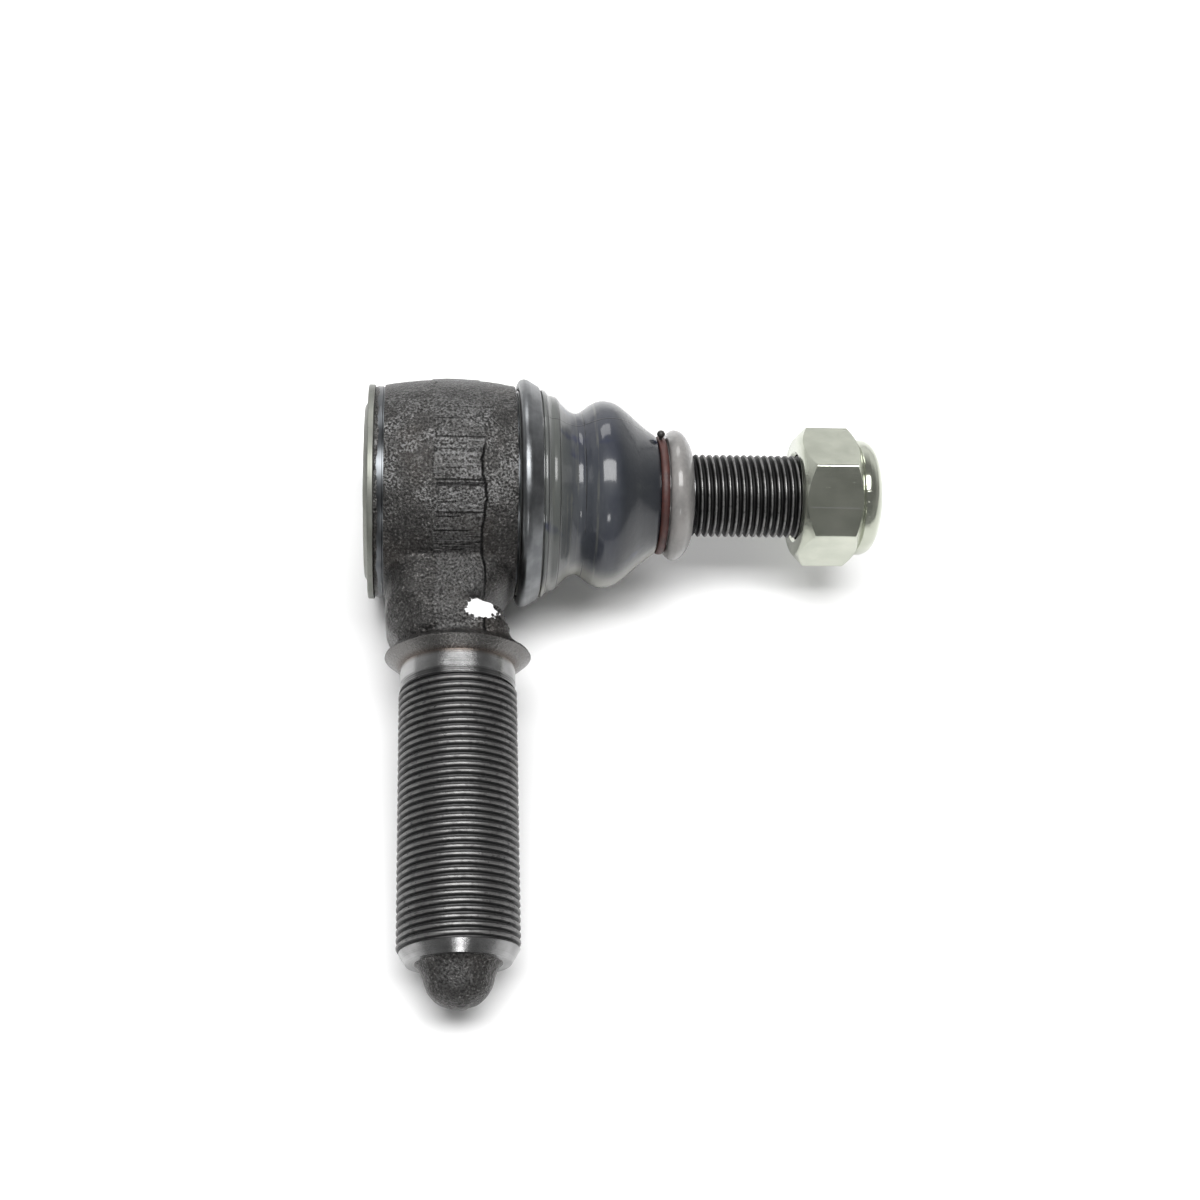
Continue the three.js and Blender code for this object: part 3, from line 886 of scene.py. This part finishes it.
def ball_stud():
    ball = arc(BALL, 180, asin(STUD_NECK / BALL) * 180 / pi, 48)
    ball[0] = (-BALL, 0)
    outline = [
        *ball, *smooth([(13.4, 7.3), (16, STUD_NECK), (24, STUD_NECK)], 3), (37, SHOULDER),
        (SHOULDER_AT - 0.3, SHOULDER), (SHOULDER_AT, SHOULDER - 0.3), (SHOULDER_AT, STUD_ROOT - 0.3),
        (STUD_THREAD_FROM, STUD_ROOT - 0.4), (STUD_THREAD_FROM, 0),
    ]
    stud = painted(turned("ball_and_stud", outline, 128), STUD_STEEL)
    thread = thread_rod("stud_thread", STUD, (SHOULDER_AT - 1, STUD_TO + 1), STUD_RADIUS, STUD_ROOT,
                        STUD_CREST_AT, STUD_CREST_WIDTH, 72)
    painted(thread, STUD_THREAD)
    envelope = turned("stud_envelope", [
        (SHOULDER_AT - 0.4, 0), (SHOULDER_AT - 0.4, STUD_ROOT - 0.1), (STUD_THREAD_FROM, STUD_ROOT - 0.1),
        (STUD_THREAD_FROM + 0.8, STUD_RADIUS + 0.1), (STUD_TO - 1.1, STUD_RADIUS + 0.1),
        (STUD_TO, STUD_RADIUS - 1), (STUD_TO, 0),
    ], 96)
    combine(thread, painted(envelope, STUD_STEEL), "INTERSECT")
    combine(stud, thread, "UNION")
    finish_mesh(stud)
    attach(stud, "stud")
    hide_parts("ball_stud")


def lock_nut():
    corner_radius = ACROSS_FLATS / sqrt(3)
    washer_face = 12.7
    face_chamfer = 2.4
    collar_chamfer = 1.7
    rounded = 0.35
    nut = turned("self_locking_nut", [
        (NUT_FROM, 0), (NUT_FROM, corner_radius), (HEX_TO, corner_radius), (HEX_TO, 0),
    ], 6, STUD, NUT_CORNER)
    edit(nut)
    bpy.ops.mesh.select_all(action="DESELECT")
    bpy.ops.object.mode_set(mode="OBJECT")
    for edge in nut.data.edges:
        first, last = (nut.data.vertices[i].co for i in edge.vertices)
        outer = min(hypot(first.y, first.z), hypot(last.y, last.z)) > MM
        edge.select = outer and abs(first.x - last.x) > MM
    bpy.ops.object.mode_set(mode="EDIT")
    bpy.ops.mesh.bevel(offset=rounded * MM, segments=3, affect="EDGES")
    done()
    cones = turned("nut_chamfers", [
        (NUT_FROM, 0), (NUT_FROM, washer_face - 0.3), (NUT_FROM + 0.15, washer_face),
        (NUT_FROM + face_chamfer, corner_radius), (HEX_TO - collar_chamfer, corner_radius),
        (HEX_TO, washer_face), (HEX_TO, 0),
    ], 144)
    combine(nut, cones, "INTERSECT")
    curl = smooth([
        (NUT_TO - 2.8, COLLAR_OF_NUT), (NUT_TO - 1.8, COLLAR_OF_NUT - 0.35),
        (NUT_TO - 0.95, COLLAR_OF_NUT - 1), (NUT_TO - 0.3, NUT_LIP + 0.9), (NUT_TO, NUT_LIP + 0.3),
    ], 5)
    rim = [(HEX_TO - 2, 0), (HEX_TO - 2, COLLAR_OF_NUT - 0.5), (HEX_TO + 0.1, COLLAR_OF_NUT - 0.35),
           (HEX_TO + 0.6, COLLAR_OF_NUT), *curl, (NUT_TO, 0)]
    combine(nut, turned("nut_collar", rim, 144), "UNION")
    pocket_from = INSERT_FROM - GAP
    pocket_to = INSERT_TO + GAP
    pocket = INSERT_RADIUS + GAP
    hole = [
        (NUT_FROM - 1, 0), (NUT_FROM - 1, NUT_BORE + 1.6), (NUT_FROM + 0.6, NUT_BORE),
        (pocket_from, NUT_BORE), (pocket_from, pocket), (pocket_to, pocket), (pocket_to, NUT_LIP + 0.1),
        (pocket_to + 0.1, NUT_LIP), (NUT_TO - 0.2, NUT_LIP), (NUT_TO + 0.2, NUT_LIP + 0.4),
        (NUT_TO + 1, NUT_LIP + 0.4), (NUT_TO + 1, 0),
    ]
    combine(nut, turned("nut_hole", hole, 128), "DIFFERENCE")
    painted(nut, zinc_plate())
    finish_mesh(nut)
    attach(nut, "nut")
    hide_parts("lock_nut")


def locking_ring():
    inner = NUT_BORE
    edge = 0.3
    outline = [
        (INSERT_FROM, inner + edge), (INSERT_FROM, INSERT_RADIUS - edge), (INSERT_FROM + edge, INSERT_RADIUS),
        (INSERT_TO - edge, INSERT_RADIUS), (INSERT_TO, INSERT_RADIUS - edge), (INSERT_TO, inner + edge),
        (INSERT_TO - edge, inner), (INSERT_FROM + edge, inner),
    ]
    ring = painted(turned("locking_ring", outline, 96), nylon())
    finish_mesh(ring, 50)
    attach(ring, "nut_ring")
    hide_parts("nylon_insert")


# ---------------------------------------------------------------- the boot and its rings


def dust_boot():
    under_ring = 21.8
    groove = 11.5
    grip = 10.2
    outside = smooth([
        (17.3, under_ring), (17.55, 22.15), (18.2, 22.0), (19.1, 21.1), (19.9, 20.9), (20.7, 20.6),
        (21.6, 19.6), (23, 18.2), (24.2, 17.5), (25.3, 17.35), (26.4, 17.9), (27.7, 18.9), (29.2, 19.75),
        (30.7, 20.05), (32.4, 19.85), (34.1, 19.1), (36.1, 17.6), (38.1, 15.8), (40.2, 14.1), (41.8, 13.0),
        (42.1, 12.7),
    ], 4)
    lip = smooth([(44.5, 12.8), (44.8, 13.3), (45.5, 13.85), (46.4, BOOT_LIP), (47.5, 13.7), (48.1, 13.2),
                  (48.6, 12.6), (49.2, 11.6), (BOOT_TO, 10.7)], 4)
    inside = smooth([
        (42.8, grip), (41.6, 11), (40, 12.4), (38, 14), (36, 15.7), (33, 17.9), (30.7, 18.5), (27.7, 17.3),
        (25.3, 15.9), (23.6, 16.4), (22, 17.5), (19.4, 19.2), (17.8, 20.4),
    ], 3)
    outline = [
        (BOOT_FROM, 20.5), (BOOT_FROM, under_ring - 0.2), (BOOT_FROM + 0.2, under_ring), *outside,
        (42.15, groove), (44.45, groove), *lip, (BOOT_TO, grip + 0.2), (BOOT_TO - 0.2, grip), *inside,
        (17.5, 20.5),
    ]
    boot = painted(turned("bellows_boot", outline, 144), boot_rubber())
    finish_mesh(boot, 45)
    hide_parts("dust_boot")
    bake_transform(boot)


def clamp_ring():
    inner = 22.1
    crown = smooth([
        (CLAMP_FROM, 23.2), (12.75, 23.75), (13.2, 24.15), (13.85, CLAMP_CREST), (14.6, 24.15), (15.3, 23.75),
        (16.2, 23.2), (16.9, 22.75), (CLAMP_TO, 22.45),
    ], 4)
    outline = [(CLAMP_FROM, inner + 0.2), *crown, (CLAMP_TO, inner + 0.15), (CLAMP_TO - 0.15, inner),
               (CLAMP_FROM + 0.2, inner)]
    ring = painted(turned("clamp_ring", outline, 160), clamp_steel())
    finish_mesh(ring, 40)
    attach(ring, "boot")
    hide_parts("boot_clamp_ring")


def band_ring():
    half = (BAND_TO - BAND_FROM) / 2
    middle = (BAND_TO + BAND_FROM) / 2
    inner = 11.8
    shoulder = BAND_CREST - half * 0.75
    top = [(middle + half * x, shoulder + (BAND_CREST - shoulder) * y) for x, y in arc(1, 180, 0, 14)]
    outline = [(BAND_FROM + 0.15, inner), *top, (BAND_TO - 0.15, inner)]
    ring = painted(turned("band_ring", outline, 144), band_rubber())
    finish_mesh(ring, 45)
    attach(ring, "boot_lip")
    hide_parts("boot_band_ring")


def ring_knob():
    """The bead that the band ring is pulled into its groove by; its stem stands on the ring."""
    at = 42.9
    angle = radians(50)
    stem_radius = 0.35
    bead_radius = 0.85
    sunk = 0.08
    foot = BAND_CREST - sunk
    reach = 14.0
    bead, middle = (
        (at * MM, out * cos(angle) * MM, out * sin(angle) * MM) for out in (reach, (reach + foot) / 2)
    )
    bpy.ops.object.select_all(action="DESELECT")
    bpy.ops.mesh.primitive_uv_sphere_add(segments=32, ring_count=20, radius=bead_radius * MM, location=bead)
    knob = bpy.context.object
    knob.name = "ring_bead"
    knob.data.name = "ring_bead"
    bpy.ops.object.transform_apply()
    bpy.ops.object.select_all(action="DESELECT")
    bpy.ops.mesh.primitive_cylinder_add(vertices=20, radius=stem_radius * MM, depth=(reach - foot) * MM,
                                        location=middle, rotation=(angle - pi / 2, 0, 0))
    stem = bpy.context.object
    bpy.ops.object.transform_apply()
    combine(knob, stem, "UNION")
    apply(knob, "REMESH", mode="VOXEL", voxel_size=0.07 * MM)
    apply(knob, "SMOOTH", factor=0.5, iterations=4)
    painted(knob, knob_rubber())
    finish_mesh(knob, 60)
    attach(knob, "boot_lip")
    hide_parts("band_ring_knob")


# ---------------------------------------------------------------- table, light and camera


def table():
    """A pale table that the clamp ring and the shank's far end lie on."""
    reach = hypot(SHANK_END, SHANK_RADIUS)
    tilt = asin(CLAMP_CREST / reach) - atan2(SHANK_RADIUS, SHANK_END)
    normal = Vector((0, sin(tilt), cos(tilt)))
    bpy.ops.object.select_all(action="DESELECT")
    under = normal * -(CLAMP_CREST + 0.1) * MM
    bpy.ops.mesh.primitive_plane_add(size=4, location=under, rotation=(-tilt, 0, 0))
    top = bpy.context.object
    top.name = "table"
    painted(top, table_top())


def lamp(name, place, aim, width, depth, power):
    light = bpy.data.lights.new(name, "AREA")
    light.shape = "RECTANGLE"
    light.size = width
    light.size_y = depth
    light.energy = power
    lamp_object = bpy.data.objects.new(name, light)
    bpy.context.scene.collection.objects.link(lamp_object)
    lamp_object.location = place
    lamp_object.rotation_euler = (Vector(aim) - Vector(place)).to_track_quat("-Z", "Y").to_euler()


def surroundings():
    """A pale sweep near the table's level, brightest at the back, and a dim ceiling."""
    world = bpy.data.worlds.new("studio")
    bpy.context.scene.world = world
    world.use_nodes = True
    nodes = world.node_tree.nodes
    links = world.node_tree.links
    direction = nodes.new("ShaderNodeTexCoord")
    height = nodes.new("ShaderNodeSeparateXYZ")
    links.new(direction.outputs["Generated"], height.inputs[0])
    fades = []
    for part, start, end, last in (("Y", 0.1, 0.8, 0.95), ("Z", 0.15, 0.75, 0.12)):
        fade = nodes.new("ShaderNodeMapRange")
        fade.interpolation_type = "SMOOTHSTEP"
        for socket, value in (("From Min", start), ("From Max", end), ("To Max", last)):
            fade.inputs[socket].default_value = value
        links.new(height.outputs[part], fade.inputs["Value"])
        fades.append(fade)
    to_the_back, upwards = fades
    to_the_back.inputs["To Min"].default_value = 0.34
    links.new(to_the_back.outputs[0], upwards.inputs["To Min"])
    links.new(upwards.outputs[0], nodes["Background"].inputs["Color"])


def studio():
    surroundings()
    lamp("overhead", (0.02, 0.03, 0.75), (0.02, -0.03, 0), 0.8, 0.34, 8.5)
    lamp("from_the_back", (-0.1, 0.8, 0.5), (0, 0, 0), 0.6, 0.3, 2.5)
    lamp("from_the_front", (0.02, -0.75, 0.52), (0, -0.05, 0), 0.2, 0.12, 0.7)
    bpy.context.scene.view_settings.view_transform = "Standard"


def camera():
    lens = bpy.data.cameras.new("camera")
    lens.lens = 55.5
    lens.sensor_width = 36
    viewer = bpy.data.objects.new("camera", lens)
    bpy.context.scene.collection.objects.link(viewer)
    viewer.location = (-0.00759, -0.18368, 0.35134)
    viewer.rotation_euler = (radians(24.393), radians(-5.188), radians(-1.946))
    bpy.context.scene.camera = viewer


camera()
housing()
end_cap()
disc_spring()
ball_seats()
ball_stud()
lock_nut()
locking_ring()
dust_boot()
clamp_ring()
band_ring()
ring_knob()
table()
studio()
